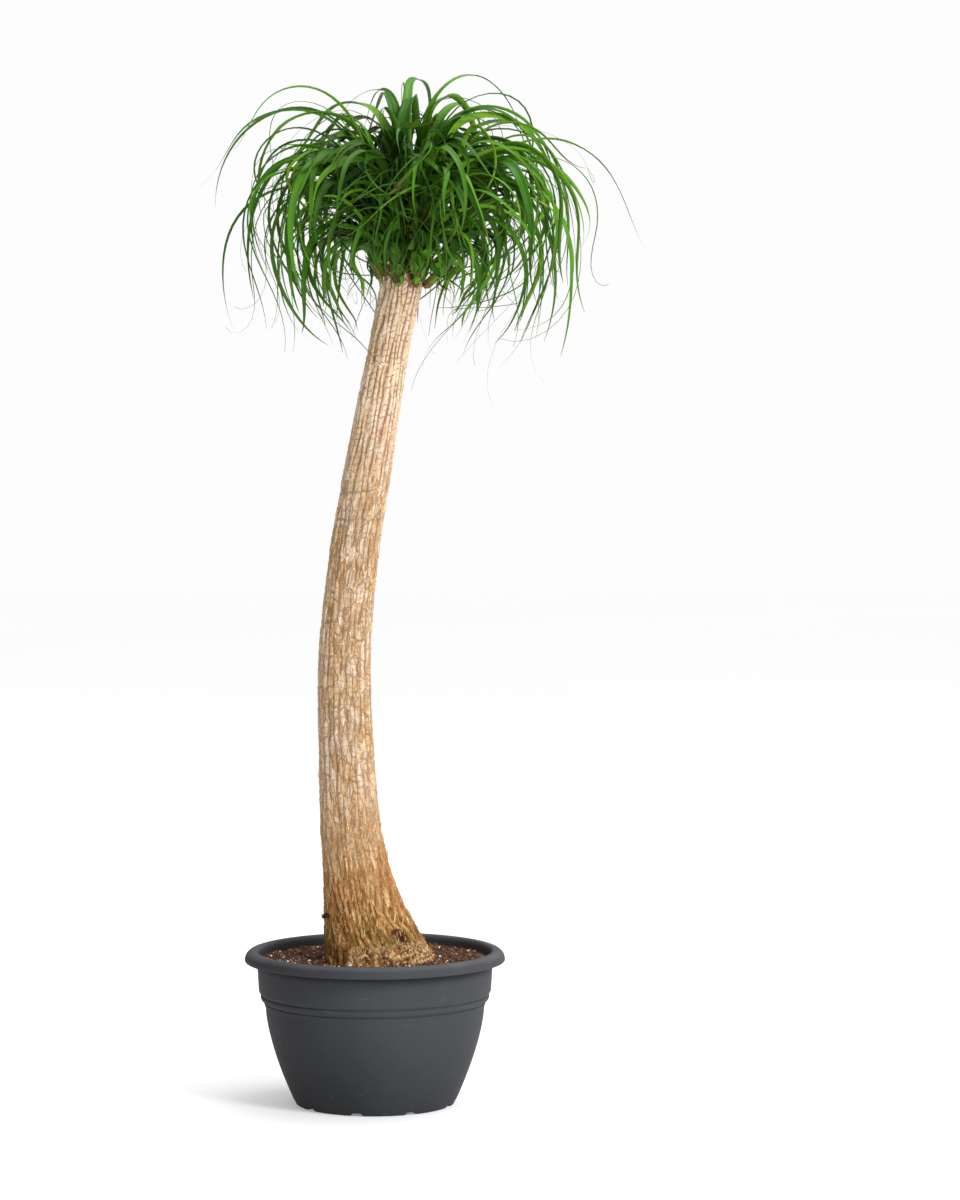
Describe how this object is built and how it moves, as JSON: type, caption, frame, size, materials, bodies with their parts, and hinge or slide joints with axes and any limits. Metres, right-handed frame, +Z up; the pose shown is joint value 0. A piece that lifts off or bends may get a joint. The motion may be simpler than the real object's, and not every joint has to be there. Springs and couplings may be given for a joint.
{
  "type": "potted ponytail palm",
  "caption": "Ponytail palm: a leaning woody stem with a flared base and leafy shoots of long arching blades round its sawn top, standing in soil in a round dark plastic bowl pot.",
  "frame": {"origin": "centre of the pot's flat base, on the surface that the pot stands on", "axes": "+Z up along the pot's axis, +X to the right of the front view, towards which the stem's sawn top leans, -Y towards the viewer"},
  "size_m": [0.6545, 0.547, 1.5716],
  "materials": {
    "pot_plastic": "dark grey moulded plastic, satin, slightly brighter on the worn lip",
    "soil": "dark crumbly potting soil with pale specks",
    "bark": "pale tan bark, cracked into long plates, browner and rougher at the base",
    "leaf": "smooth green leaf with a soft sheen"
  },
  "bodies": {
    "root": {"pot": "pot_plastic", "soil": "soil", "trunk": "bark", "shoot_front": "leaf", "shoot_front_right": "leaf", "shoot_right": "leaf", "shoot_back_right": "leaf", "shoot_back": "leaf", "shoot_back_left": "leaf", "shoot_left": "leaf"}
  },
  "joints": []
}
